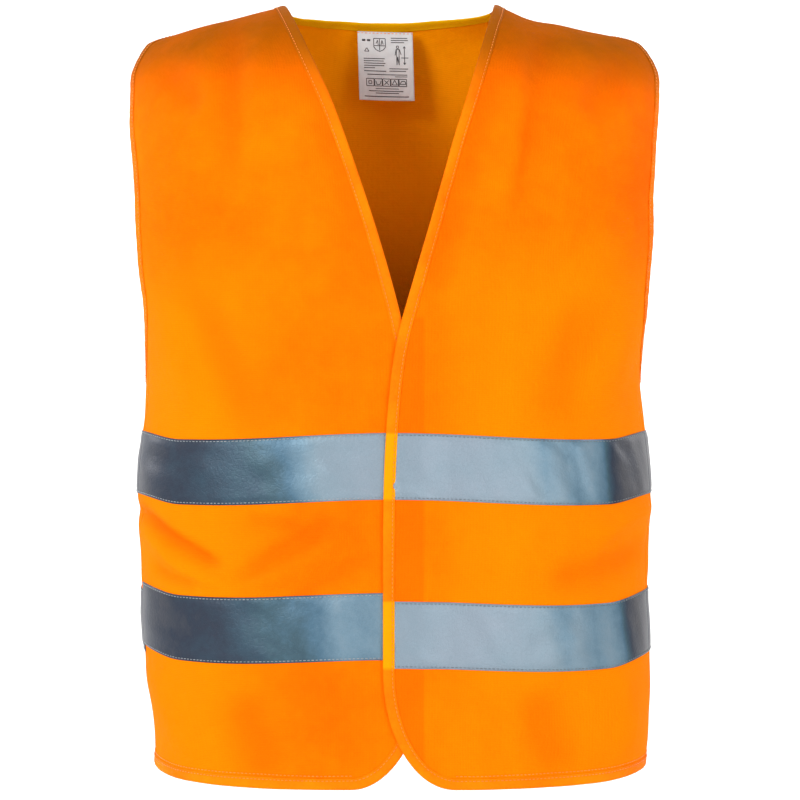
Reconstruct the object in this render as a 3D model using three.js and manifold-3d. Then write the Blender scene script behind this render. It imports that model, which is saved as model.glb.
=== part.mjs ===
// A high visibility vest, shaped as it is worn: front towards -Y, the wearer's left towards +X, +Z up.
// The origin lies midway between the shoulder high points, where the vest rests on its wearer.
// Every cloth piece is a thin shell laid over one smooth torso, so the layers stay parallel.
// The front opens on a slanted fold line on each side, so each front is a fixed part and a flap.
import * as THREE from "three";
import { mergeVertices } from "three/addons/utils/BufferGeometryUtils.js";
import Module from "manifold-3d";

const wasm = await Module();
wasm.setup();

// Overall shape, in millimetres. A drop is measured down from the shoulder high points.
const LENGTH = 613; // drop of the hem
const CHEST_DROP = 110; // where the upright body starts to round over to the shoulder
const CHEST_DEPTH = 114; // half the depth of the torso at the chest
const HEM_DEPTH = 126; // half its depth at the hem
const UPPER_HALF_WIDTH = 218; // half the width across the shoulders' outer ends
const ARMPIT_HALF_WIDTH = 200; // half the width at the foot of the armholes
const BODY_HALF_WIDTH = 208; // half the width just below them
const WAIST_HALF_WIDTH = 204;
const HEM_HALF_WIDTH = 191;
const PLAN_POWER = 2.5; // how square the torso is seen from above
const FRONT_ROUND = 2; // how square the front rounds over to the shoulder
const BACK_ROUND = 3; // the same for the back, which stays upright for longer
const SHOULDER_SLOPE = 0.25; // fall of the shoulder for each millimetre outwards

// Neck and front edges.
const NECK_HALF = 87; // half the width between the shoulder high points
const NECK_CENTRE = -4; // the neck sits this far to the wearer's right
const NECK_BACK = 82; // how far the neck reaches behind the shoulder seams
const V_DROP = 262; // drop of the point where the two front edges cross
const V_CENTRE = 7; // its place across the front
const OUTER_EDGE = -7; // the free edge of the wearer's left front, which lies on top
const INNER_EDGE = 22; // the free edge of the wearer's right front, underneath
const CORNER_WIDTH = 54; // the rounded lower front corners
const CORNER_HEIGHT = 90;

// Armholes, seen from the side: their top, foot and outline as [y, share of the height].
const ARMHOLE_TOP = 26;
const ARMHOLE_DROP = 300;
const ARMHOLE_OUTLINE = [
  [0, 0], [-28, 0.1], [-46, 0.3], [-53, 0.6], [-43, 0.86], [-14, 1],
  [20, 0.93], [40, 0.72], [45, 0.45], [36, 0.2], [18, 0.05],
];
const ARMHOLE_STEPS = 32;
const SIDE_SEAM_Y = -40;

// Cloth, tapes and bindings.
const CLOTH = 0.8;
const GAP = 0.3; // clearance between neighbouring pieces
const TAPE_WIDTH = 50;
const TAPE = 0.4;
const UPPER_TAPE_DROP = 345; // drop of the upper tape's top edge
const TAPE_SPACING = 76; // plain cloth between the two tapes
const RIGHT_TAPE_RISE = 6; // the lower tape of the wearer's right front is sewn higher
const BINDING_WIDTH = 8;
const BINDING = 0.5;

// The fold line that each flap turns on, from its upper to its lower end.
const FOLD_TOP_DROP = 132;
const FOLD_TOP_X = 54;
const FOLD_HEM_X = 100;

// Hook and loop patches sewn over the bindings in the overlap, and the lift they give the top flap.
const PATCH_WIDTH = 14;
const PATCH_LENGTH = 36;
const PATCH = 0.9;
const LEAF = GAP + BINDING; // how far a binding stands off the cloth that it wraps
const OVERLAP_LIFT = CLOTH + 2 * LEAF + 2 * PATCH + 3 * GAP;
const LIFTED_TO = 9; // the flap on top is fully lifted up to this angle round the torso
const LIFT_STARTS = 18; // and lies on the torso from this angle on

// Care label, hanging inside the back of the neck.
const LABEL_WIDTH = 48;
const LABEL_HEIGHT = 60;
const LABEL = 0.5;
const LABEL_CENTRE = -7;
const LABEL_HANG = 23; // drop of its top edge below the shoulder line above it
const LABEL_TOP = SHOULDER_SLOPE * (NECK_HALF - Math.abs(LABEL_CENTRE)) - LABEL_HANG;

const FAR = 400; // cutting solids reach this far past the vest
const MERGE = 1e-3;

const FABRIC = new THREE.MeshStandardMaterial({ color: 0xff7a08, roughness: 0.85, metalness: 0 });
const TRIM = new THREE.MeshStandardMaterial({ color: 0xff9a0a, roughness: 0.8, metalness: 0 });
const REFLECTIVE = new THREE.MeshStandardMaterial({ color: 0x9db2be, roughness: 0.4, metalness: 0.4 });
const FASTENER = new THREE.MeshStandardMaterial({ color: 0xe86a10, roughness: 0.95, metalness: 0 });
const LABEL_CLOTH = new THREE.MeshStandardMaterial({ color: 0xf2f2ef, roughness: 0.6, metalness: 0 });

// A value that passes smoothly through [place, value] pairs.
function through(pairs, place) {
  const last = pairs.length - 1;
  if (place <= pairs[0][0]) return pairs[0][1];
  if (place >= pairs[last][0]) return pairs[last][1];
  const i = pairs.findIndex(([p]) => p > place) - 1;
  const share = (place - pairs[i][0]) / (pairs[i + 1][0] - pairs[i][0]);
  return THREE.MathUtils.lerp(pairs[i][1], pairs[i + 1][1], THREE.MathUtils.smoothstep(share, 0, 1));
}

function halfWidth(z) {
  const below = LENGTH - ARMHOLE_DROP;
  return through(
    [
      [CHEST_DROP, UPPER_HALF_WIDTH],
      [ARMHOLE_DROP, ARMPIT_HALF_WIDTH],
      [ARMHOLE_DROP + 0.3 * below, BODY_HALF_WIDTH],
      [ARMHOLE_DROP + 0.6 * below, WAIST_HALF_WIDTH],
      [LENGTH, HEM_HALF_WIDTH],
    ],
    -z,
  );
}

function halfDepth(z) {
  return THREE.MathUtils.mapLinear(Math.min(z, -CHEST_DROP), -CHEST_DROP, -LENGTH, CHEST_DEPTH, HEM_DEPTH);
}

function shoulderHeight(x) {
  return SHOULDER_SLOPE * (NECK_HALF - Math.abs(x));
}

// A point of the torso's skin, pushed out by offset. Angle 0 is the middle of the front and 90 the
// wearer's left side; turn is 0 on the upright body and rises to 90 at the shoulder line.
function skinPoint(angle, z, turn, offset, lifted) {
  const sin = Math.sin(THREE.MathUtils.degToRad(angle));
  const cos = Math.cos(THREE.MathUtils.degToRad(angle));
  const across = Math.abs(sin) / (halfWidth(z) + offset);
  const along = Math.abs(cos) / (halfDepth(z) + offset);
  const radius = (across ** PLAN_POWER + along ** PLAN_POWER) ** (-1 / PLAN_POWER);
  const point = new THREE.Vector3(radius * sin, -radius * cos, z);
  if (turn > 0) {
    const power = 2 / (point.y < 0 ? FRONT_ROUND : BACK_ROUND);
    const leaning = THREE.MathUtils.degToRad(turn);
    point.y *= turn === 90 ? 0 : Math.cos(leaning) ** power;
    point.z += (shoulderHeight(point.x) + offset - z) * Math.sin(leaning) ** power;
  }
  if (lifted && point.y < -1) {
    const signed = angle > 180 ? angle - 360 : angle;
    point.y -= OVERLAP_LIFT * (1 - THREE.MathUtils.smoothstep(signed, LIFTED_TO, LIFT_STARTS));
  }
  return point;
}

// Below 1 inside the torso, 1 on its skin and above 1 outside.
function level(x, y, z) {
  const across = (Math.abs(x) / halfWidth(z)) ** PLAN_POWER;
  if (z <= -CHEST_DROP) return across + (Math.abs(y) / halfDepth(z)) ** PLAN_POWER;
  const depth = halfDepth(z) * Math.max(1 - across, 1e-9) ** (1 / PLAN_POWER);
  const power = y < 0 ? FRONT_ROUND : BACK_ROUND;
  return ((z + CHEST_DROP) / (shoulderHeight(x) + CHEST_DROP)) ** power + (Math.abs(y) / depth) ** power;
}

// How far out the skin lies at a height and depth.
function skinX(y, z) {
  let low = 0;
  let high = halfWidth(z);
  for (let i = 0; i < 40; i++) {
    const middle = (low + high) / 2;
    if (level(middle, y, z) < 1) low = middle;
    else high = middle;
  }
  return low;
}

// A closed triangle mesh as a solid whose faces point out.
function solidFrom(positions, triangles) {
  const make = (triVerts) =>
    new wasm.Manifold(new wasm.Mesh({ numProp: 3, vertProperties: positions, triVerts }));
  const made = make(triangles);
  return made.volume() > 0 ? made : make(triangles.slice().reverse());
}

function solidOf(geometry) {
  const bare = new THREE.BufferGeometry().setAttribute("position", geometry.getAttribute("position"));
  bare.setIndex(geometry.index);
  const merged = mergeVertices(bare, MERGE);
  return solidFrom(merged.attributes.position.array, new Uint32Array(merged.index.array));
}

function box(low, high) {
  const size = high.map((v, i) => v - low[i]);
  const geometry = new THREE.BoxGeometry(...size);
  geometry.translate(...low.map((v, i) => v + size[i] / 2));
  return solidOf(geometry);
}

const X = new THREE.Vector3(1, 0, 0);
const Y = new THREE.Vector3(0, 1, 0);
const Z = new THREE.Vector3(0, 0, 1);

// An outline swept from near to far: a front view along Y, a side view along X or a plan along Z.
function prism(view, outline, near, far) {
  const shape = new THREE.Shape(outline.map(([u, v]) => new THREE.Vector2(u, v)));
  const geometry = new THREE.ExtrudeGeometry(shape, { depth: far - near, bevelEnabled: false });
  geometry.translate(0, 0, view === "front" ? -far : near);
  const axes = { front: [X, Z, Y.clone().negate()], side: [Y, Z, X], plan: [X, Y, Z] }[view];
  geometry.applyMatrix4(new THREE.Matrix4().makeBasis(...axes));
  return solidOf(geometry);
}

// The same line moved sideways, to the left of its direction.
function moved(line, distance) {
  return line.map(([u, v], i) => {
    const before = line[Math.max(i - 1, 0)];
    const after = line[Math.min(i + 1, line.length - 1)];
    const du = after[0] - before[0];
    const dv = after[1] - before[1];
    const length = Math.hypot(du, dv);
    return [u - (dv / length) * distance, v + (du / length) * distance];
  });
}

// The whole torso as a solid bag, open nowhere, sewn along its shoulder line.
const QUARTER = [0, LIFTED_TO, LIFT_STARTS, 33, 44, 53, 61, 68, 75, 82];
const ANGLES = [
  ...QUARTER,
  90,
  ...QUARTER.slice(1).reverse().map((a) => 180 - a),
  ...QUARTER.map((a) => 180 + a),
  270,
  ...QUARTER.slice(1).reverse().map((a) => 360 - a),
];
const BODY_ROWS = 9;
const TURNS = [18, 36, 54, 70, 82, 90];

function bag(offset, lifted) {
  const foot = -LENGTH - 5;
  const rows = [];
  for (let i = 0; i <= BODY_ROWS; i++)
    rows.push([THREE.MathUtils.lerp(foot, -CHEST_DROP, i / BODY_ROWS), 0]);
  TURNS.forEach((turn) => rows.push([-CHEST_DROP, turn]));
  const count = ANGLES.length;
  const vertices = rows.flatMap(([z, turn]) => ANGLES.map((a) => skinPoint(a, z, turn, offset, lifted)));
  vertices.push(new THREE.Vector3(0, 0, foot));
  const triangles = [];
  // The front's and the back's columns share their last point, on the shoulder line.
  const at = (row, column) => {
    const j = column % count;
    return row * count + (row < rows.length - 1 ? j : Math.min(j, (count + count / 2 - j) % count));
  };
  for (let j = 0; j < count; j++) {
    triangles.push(vertices.length - 1, at(0, j + 1), at(0, j));
    for (let i = 0; i < rows.length - 1; i++) {
      triangles.push(at(i, j), at(i, j + 1), at(i + 1, j + 1));
      triangles.push(at(i, j), at(i + 1, j + 1), at(i + 1, j));
    }
  }
  const positions = new Float32Array(vertices.flatMap((v) => v.toArray()));
  const geometry = new THREE.BufferGeometry();
  geometry.setAttribute("position", new THREE.BufferAttribute(positions, 3));
  return solidOf(geometry.setIndex(triangles));
}

const bags = new Map();
function shell(inner, outer, lifted = false) {
  const get = (offset) => {
    const key = offset.toFixed(3) + lifted;
    if (!bags.has(key)) bags.set(key, bag(offset, lifted));
    return bags.get(key);
  };
  const opened = box([-FAR, -FAR, -LENGTH - FAR], [FAR, FAR, -LENGTH - 4]);
  return get(outer).subtract(get(inner)).subtract(opened);
}

// The free edge of a front, from above the shoulder down, round its corner and out along the hem.
function cornerPoints(edge, side) {
  const points = [];
  for (let a = 0; a <= 90; a += 15) {
    const turned = THREE.MathUtils.degToRad(a);
    points.push([
      edge + side * CORNER_WIDTH * (1 - Math.cos(turned)),
      -LENGTH + CORNER_HEIGHT * (1 - Math.sin(turned)),
    ]);
  }
  return [...points, [side * 0.6 * FAR, -LENGTH], [side * FAR, -LENGTH]];
}

function bent(from, middle, to, steps) {
  const points = [from, middle, to].map(([u, v]) => new THREE.Vector2(u, v));
  const curve = new THREE.QuadraticBezierCurve(...points);
  return curve.getPoints(steps).map((p) => [p.x, p.y]);
}

const LEFT_NECK = NECK_CENTRE + NECK_HALF;
const RIGHT_NECK = NECK_CENTRE - NECK_HALF;
const OUTER_SLOPE = (LEFT_NECK - V_CENTRE) / V_DROP;
const OUTER_LINE = [
  [LEFT_NECK, 60],
  [LEFT_NECK, 0],
  ...[0.25, 0.5, 0.75].map((s) => [LEFT_NECK - s * V_DROP * OUTER_SLOPE, -s * V_DROP]),
  ...bent(
    [V_CENTRE, -V_DROP],
    [OUTER_EDGE, -V_DROP - (V_CENTRE - OUTER_EDGE) / OUTER_SLOPE],
    [OUTER_EDGE, -V_DROP - 168],
    6,
  ),
  ...cornerPoints(OUTER_EDGE, 1),
];
const INNER_LINE = [
  [RIGHT_NECK, 60],
  ...bent([RIGHT_NECK, 0], [0, -0.725 * V_DROP], [INNER_EDGE, -V_DROP - 88], 12),
  ...cornerPoints(INNER_EDGE, -1),
];

// What lies outside a front's free edge, grown onto the cloth by distance.
function outsideFront(side, distance) {
  const line = side > 0 ? moved(OUTER_LINE, distance) : moved(INNER_LINE, -distance);
  const closing = [
    [side * FAR, -LENGTH - FAR],
    [-side * FAR, -LENGTH - FAR],
    [-side * FAR, 60],
  ];
  return prism("front", [...line, ...closing], -FAR, 0.5);
}

// The opening behind the shoulder seams, grown onto the back by distance.
function backNeck(distance) {
  const outline = [];
  for (let a = 0; a <= 180; a += 10) {
    const turned = THREE.MathUtils.degToRad(a);
    outline.push([
      NECK_CENTRE + (NECK_HALF + distance) * Math.cos(turned),
      (NECK_BACK + distance) * Math.sin(turned),
    ]);
  }
  const first = outline[0][0];
  const last = outline[outline.length - 1][0];
  return prism("plan", [[first, -0.5], ...outline, [last, -0.5]], -CHEST_DROP / 2, 60);
}

function belowHem(distance) {
  return box([-FAR, -FAR, -LENGTH - FAR], [FAR, FAR, -LENGTH + distance]);
}

// The armhole's edge on the skin: at each point its outward normal and its direction onto the cloth.
function armholeEdge(side) {
  const height = ARMHOLE_DROP - ARMHOLE_TOP;
  const points = ARMHOLE_OUTLINE.map(([y, s]) => new THREE.Vector3(0, y, -ARMHOLE_TOP - s * height));
  const curve = new THREE.CatmullRomCurve3(points, true, "centripetal");
  const edge = curve.getSpacedPoints(ARMHOLE_STEPS).slice(0, -1);
  edge.forEach((p) => p.setX(side * skinX(p.y, p.z)));
  const middle = new THREE.Vector3(side * ARMPIT_HALF_WIDTH, 0, -ARMHOLE_TOP - height / 2);
  const step = 0.5;
  return edge.map((p, i) => {
    const after = edge[(i + 1) % edge.length];
    const before = edge[(i + edge.length - 1) % edge.length];
    const slope = (d) =>
      level(p.x + d.x * step, p.y + d.y * step, p.z + d.z * step) -
      level(p.x - d.x * step, p.y - d.y * step, p.z - d.z * step);
    const normal = new THREE.Vector3(slope(X), slope(Y), slope(Z)).normalize();
    const onto = normal.clone().cross(after.clone().sub(before)).normalize();
    if (onto.dot(p.clone().sub(middle)) < 0) onto.negate();
    return { p, normal, onto };
  });
}

const EDGES = { 1: armholeEdge(1), "-1": armholeEdge(-1) };
const CUT_REACH = 12;

// A drum that cuts the armhole, its wall square to the cloth, grown onto the cloth by distance.
function armhole(side, distance) {
  const edge = EDGES[side];
  const count = edge.length;
  const vertices = [
    ...[1, -1].flatMap((way) =>
      edge.map(({ p, normal, onto }) =>
        p.clone().addScaledVector(onto, distance).addScaledVector(normal, way * CUT_REACH),
      ),
    ),
    new THREE.Vector3(side * (UPPER_HALF_WIDTH + 4 * CUT_REACH), 0, 0),
    new THREE.Vector3((side * UPPER_HALF_WIDTH) / 2, 0, -(ARMHOLE_TOP + ARMHOLE_DROP) / 2),
  ];
  const triangles = [];
  for (let i = 0; i < count; i++) {
    const j = (i + 1) % count;
    triangles.push(2 * count, i, j, 2 * count + 1, count + j, count + i);
    triangles.push(i, count + i, j, j, count + i, count + j);
  }
  return solidFrom(new Float32Array(vertices.flatMap((v) => v.toArray())), new Uint32Array(triangles));
}

// Everything in front of the shoulder and side seams, or behind them.
function half(side) {
  const away = side * (GAP / 2);
  const seam = [
    [away, 60],
    [away, -ARMHOLE_TOP - 0.1 * (ARMHOLE_DROP - ARMHOLE_TOP)],
    [SIDE_SEAM_Y + away, -ARMHOLE_TOP - 0.6 * (ARMHOLE_DROP - ARMHOLE_TOP)],
    [SIDE_SEAM_Y + away, -LENGTH - FAR],
  ];
  return prism("side", [...seam, [side * FAR, -LENGTH - FAR], [side * FAR, 60]], -FAR, FAR);
}

// The part of a front that turns with its flap, grown by distance.
function flapZone(side, distance) {
  const slope = (FOLD_HEM_X - FOLD_TOP_X) / (LENGTH - FOLD_TOP_DROP);
  const foot = FOLD_HEM_X + slope * FAR;
  return prism(
    "front",
    [
      [-side * FAR, -FOLD_TOP_DROP + distance],
      [side * (FOLD_TOP_X + distance), -FOLD_TOP_DROP + distance],
      [side * (foot + distance), -LENGTH - FAR],
      [-side * FAR, -LENGTH - FAR],
    ],
    -FAR,
    SIDE_SEAM_Y,
  );
}

// A binding folded over the edge of a panel: outside(distance) is the space beyond that edge.
function binding(outside, lifted = false) {
  const wide = shell(-LEAF, CLOTH + LEAF, lifted).intersect(outside(BINDING_WIDTH));
  const folded = wide.subtract(outside(-LEAF));
  return folded.subtract(shell(-GAP, CLOTH + GAP, lifted).subtract(outside(-GAP)));
}

function slab(top, height) {
  return box([-FAR, -FAR, -top - height], [FAR, FAR, -top]);
}

const FRONT = half(-1);
const BACK = half(1);
const TAPE_FOOT = CLOTH + GAP;
const CLEAR = BINDING_WIDTH + GAP;
const LOWER_TAPE_DROP = UPPER_TAPE_DROP + TAPE_WIDTH + TAPE_SPACING;
const root = new THREE.Group();

function add(name, solid, material) {
  const { numProp, vertProperties, triVerts } = solid.getMesh();
  const positions = new Float32Array((vertProperties.length / numProp) * 3);
  for (let i = 0; i < positions.length / 3; i++)
    positions.set(vertProperties.subarray(i * numProp, i * numProp + 3), i * 3);
  const geometry = new THREE.BufferGeometry();
  geometry.setAttribute("position", new THREE.BufferAttribute(positions, 3));
  geometry.setIndex(new THREE.BufferAttribute(new Uint32Array(triVerts), 1));
  const mesh = new THREE.Mesh(geometry, material);
  mesh.name = name;
  root.add(mesh);
}

// One front: its cloth, its two tapes and the binding round its flap.
function addFront(name, side) {
  const lifted = side > 0;
  const flap = flapZone(side, -GAP / 2);
  const around = flapZone(side, GAP / 2);
  const cloth = shell(0, CLOTH, lifted).intersect(FRONT).subtract(outsideFront(side, 0));
  const panel = cloth.subtract(armhole(side, 0));
  add(name + "_front_side", panel.subtract(around), FABRIC);
  add(name + "_front_flap", panel.intersect(flap), FABRIC);
  const tapes = shell(TAPE_FOOT, TAPE_FOOT + TAPE, lifted).intersect(FRONT);
  const skin = tapes.subtract(outsideFront(side, CLEAR));
  const lower = LOWER_TAPE_DROP - (side < 0 ? RIGHT_TAPE_RISE : 0);
  for (const [place, top] of [["upper", UPPER_TAPE_DROP], ["lower", lower]]) {
    const band = skin.intersect(slab(top, TAPE_WIDTH));
    add(name + "_" + place + "_tape_side", band.subtract(around), REFLECTIVE);
    add(name + "_" + place + "_tape_flap", band.intersect(flap), REFLECTIVE);
  }
  const edging = binding((d) => outsideFront(side, d), lifted).intersect(flap);
  add(name + "_front_edge_binding", edging, TRIM);
}

function addBack() {
  const cloth = shell(0, CLOTH).intersect(BACK).subtract(backNeck(0)).subtract(belowHem(0));
  add("back_panel", cloth.subtract(armhole(1, 0)).subtract(armhole(-1, 0)), FABRIC);
  const skin = shell(TAPE_FOOT, TAPE_FOOT + TAPE).intersect(BACK);
  add("back_upper_tape", skin.intersect(slab(UPPER_TAPE_DROP, TAPE_WIDTH)), REFLECTIVE);
  add("back_lower_tape", skin.intersect(slab(LOWER_TAPE_DROP, TAPE_WIDTH)), REFLECTIVE);
}

function addRootBindings() {
  const above = slab(-FAR, FAR + FOLD_TOP_DROP - GAP / 2);
  const fronts = [1, -1].map((side) => binding((d) => outsideFront(side, d), side > 0).intersect(above));
  const clipped = fronts.map((edge, i) => {
    const own = i === 0 ? box([0, -FAR, -FAR], [FAR, 0, FAR]) : box([-FAR, -FAR, -FAR], [0, 0, FAR]);
    return edge.intersect(own);
  });
  const behind = binding(backNeck).intersect(box([-FAR, -0.2, -FAR], [FAR, FAR, FAR]));
  add("neck_binding", behind.add(clipped[0]).add(clipped[1]), TRIM);
  const flaps = flapZone(1, GAP / 2).add(flapZone(-1, GAP / 2));
  add("hem_binding", binding(belowHem).subtract(flaps), TRIM);
  add("left_armhole_binding", binding((d) => armhole(1, d)), TRIM);
  add("right_armhole_binding", binding((d) => armhole(-1, d)), TRIM);
}

// Pairs of patches in the overlap: loops on the flap below, hooks on the back of the one on top.
function addPatches() {
  const middle = (OUTER_EDGE + INNER_EDGE) / 2;
  const drops = {
    upper: UPPER_TAPE_DROP - GAP - PATCH_LENGTH,
    middle: UPPER_TAPE_DROP + TAPE_WIDTH + (TAPE_SPACING - PATCH_LENGTH) / 2,
    lower: LOWER_TAPE_DROP + TAPE_WIDTH + 4 * GAP,
  };
  const foot = CLOTH + LEAF + GAP;
  for (const [place, drop] of Object.entries(drops)) {
    const reach = [middle - PATCH_WIDTH / 2, middle + PATCH_WIDTH / 2];
    const area = box([reach[0], -FAR, -drop - PATCH_LENGTH], [reach[1], 0, -drop]);
    add(place + "_loop_patch", shell(foot, foot + PATCH).intersect(area), FASTENER);
    add(place + "_hook_patch", shell(-LEAF - GAP - PATCH, -LEAF - GAP, true).intersect(area), FASTENER);
  }
}

function addLabel() {
  const reach = (LABEL_WIDTH / 2 + Math.abs(LABEL_CENTRE - NECK_CENTRE)) / NECK_HALF;
  const face = NECK_BACK * Math.sqrt(1 - reach ** 2) - 2 * GAP - BINDING;
  add(
    "care_label",
    box(
      [LABEL_CENTRE - LABEL_WIDTH / 2, face - LABEL, LABEL_TOP - LABEL_HEIGHT],
      [LABEL_CENTRE + LABEL_WIDTH / 2, face, LABEL_TOP],
    ),
    LABEL_CLOTH,
  );
}

addBack();
addFront("left", 1);
addFront("right", -1);
addRootBindings();
addPatches();
addLabel();

export default root;
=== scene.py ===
"""A high visibility vest as it is worn: orange knit panels, bound edges, reflective tapes, stitching,
hook and loop patches and a care label. Every layer lies on one torso surface, which the folds move."""
import math

import bmesh
import bpy
import numpy as np
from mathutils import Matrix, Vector


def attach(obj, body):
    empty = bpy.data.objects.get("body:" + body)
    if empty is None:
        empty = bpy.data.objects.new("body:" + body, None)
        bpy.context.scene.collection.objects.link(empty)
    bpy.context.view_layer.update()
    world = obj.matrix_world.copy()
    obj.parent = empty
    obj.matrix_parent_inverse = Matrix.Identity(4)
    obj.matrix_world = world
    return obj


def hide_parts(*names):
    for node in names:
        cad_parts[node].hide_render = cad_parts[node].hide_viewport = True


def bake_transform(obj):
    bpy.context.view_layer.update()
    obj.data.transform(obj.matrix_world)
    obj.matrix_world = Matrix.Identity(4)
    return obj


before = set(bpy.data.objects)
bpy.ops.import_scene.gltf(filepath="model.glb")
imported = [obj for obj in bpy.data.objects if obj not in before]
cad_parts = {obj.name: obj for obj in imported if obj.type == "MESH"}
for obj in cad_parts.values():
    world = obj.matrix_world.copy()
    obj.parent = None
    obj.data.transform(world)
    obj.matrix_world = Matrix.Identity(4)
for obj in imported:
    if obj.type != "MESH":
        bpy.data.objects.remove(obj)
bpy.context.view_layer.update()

MM = 0.001

# The torso that the vest is shaped on, in metres. A drop is measured down from the shoulder points.
LENGTH = 0.613
CHEST_DROP = 0.110
CHEST_DEPTH = 0.114
HEM_DEPTH = 0.126
PLAN_POWER = 2.5
FRONT_ROUND = 2
BACK_ROUND = 3
SHOULDER_SLOPE = 0.25
SHOULDER_TAPER = 0.070  # how much narrower the torso is at its shoulder tips than at the chest
DOME = 0.170  # length of cloth from the chest line up to the shoulder seam
TOP = DOME - CHEST_DROP
HALF_WIDTHS = [(0.110, 0.218), (0.300, 0.200), (0.3939, 0.208), (0.4878, 0.204), (LENGTH, 0.191)]

# Neck, front edges and armholes.
NECK_HALF = 0.087
NECK_CENTRE = -0.004
NECK_BACK = 0.082
V_DROP = 0.262
V_CENTRE = 0.007
OUTER_EDGE = -0.007
INNER_EDGE = 0.022
CORNER_WIDTH = 0.054
CORNER_HEIGHT = 0.090
ARMHOLE_TOP = 0.026
ARMHOLE_DROP = 0.300
ARMHOLE_OUTLINE = [
    (0, 0), (-28, 0.1), (-46, 0.3), (-53, 0.6), (-43, 0.86), (-14, 1),
    (20, 0.93), (40, 0.72), (45, 0.45), (36, 0.2), (18, 0.05),
]
SIDE_SEAM_Y = -0.040

# Cloth, tapes and bindings.
CLOTH = 0.0005
TAPE_WIDTH = 0.050
TAPE = 0.0003
UPPER_TAPE_DROP = 0.345
LOWER_TAPE_DROP = 0.471
RIGHT_TAPE_RISE = 0.006
OVERLAP_LIFT = 0.0032  # how far the left front stands off the right one where it lies on top
LIFTED_TO = 8  # degrees round the front where it stands off fully, and where that starts
LIFT_STARTS = 20
ON_CLOTH = 0.0003  # gap between the cloth and a tape laid on it
TAPE_CRINKLE = 0.0005
OVER_TAPE_RISE = 0.0007  # how much further out a binding lies where it crosses a tape
BINDING_SEAM = (0.0062, 0.0012)  # the stitches of a binding: distance from the edge, and offset
HEM_SEAM = 0.0098
TAPE_SEAM = 0.0022  # distance of a tape's stitches from its edge

# Spacing of the meshes.
GRID_DEGREES = 1.0
GRID_STEP = 0.003
TAPE_STEP = 0.002
EDGE_STEP = 0.0015
BEYOND = 0.23  # further out than any point of the torso

# Where each front bends as it opens, on the wearer's left: the middle of the line, the way inboard
# across it, and the width of cloth that bends.
FOLD_MIDDLE = (0.077, -0.1183, -0.3725)
FOLD_INBOARD = (-0.9955, 0, -0.0952)
FOLD_BEND = 0.034

LEFT, RIGHT = 1, -1
SHOWN = {LEFT: "left", RIGHT: "right"}


# ---------------------------------------------------------------- the torso and its folds

def ease(t):
    t = np.clip(t, 0, 1)
    return t * t * (3 - 2 * t)


def half_width(z):
    """Half the width of the torso at a height, eased between the chosen levels."""
    drop = np.clip(-z, HALF_WIDTHS[0][0], HALF_WIDTHS[-1][0])
    width = np.full_like(drop, HALF_WIDTHS[0][1])
    for (d0, w0), (d1, w1) in zip(HALF_WIDTHS, HALF_WIDTHS[1:]):
        share = ease((drop - d0) / (d1 - d0))
        width = np.where(drop >= d0, w0 + (w1 - w0) * share, width)
    return width


def half_depth(z):
    share = (np.clip(-z, CHEST_DROP, 1) - CHEST_DROP) / (LENGTH - CHEST_DROP)
    return CHEST_DEPTH + (HEM_DEPTH - CHEST_DEPTH) * share


def shoulder_line(x):
    """Height of the shoulders at x, rounded where the two slopes meet."""
    return SHOULDER_SLOPE * (NECK_HALF + 0.0035 - np.sqrt(x * x + 0.025 ** 2))


def taper(z):
    return 1 - SHOULDER_TAPER * ease((z + 0.068) / 0.048)


def torso(angle, height, offset):
    """Points of the torso: angle in degrees from the middle of the front towards the wearer's left,
    height in metres of cloth (the real height up to the chest line), offset outwards."""
    angle, height, offset = np.broadcast_arrays(*(np.asarray(v, float) for v in (angle, height, offset)))
    turned = np.radians(angle)
    sin, cos = np.sin(turned), np.cos(turned)
    z = np.minimum(height, -CHEST_DROP)
    across = np.abs(sin) / (half_width(z) + offset)
    along = np.abs(cos) / (half_depth(z) + offset)
    radius = (across ** PLAN_POWER + along ** PLAN_POWER) ** (-1 / PLAN_POWER)
    x, y = radius * sin, -radius * cos
    over = np.radians(90 * np.clip((height + CHEST_DROP) / DOME, 0, 1))
    power = np.where(cos > 0, FRONT_ROUND, BACK_ROUND)
    c, s = np.abs(np.cos(over)), np.abs(np.sin(over))
    reach = (c ** power + s ** power) ** (-1 / power)
    shoulder = shoulder_line(x) + offset + CHEST_DROP
    y = y * np.where(over > math.pi / 2 - 1e-9, 0, c * reach)
    z = z + shoulder * s * reach * (over > 0)
    return np.stack([x * taper(z), y, z], -1)


FOLD_HEIGHT = 1.7  # times the heights given here

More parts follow.
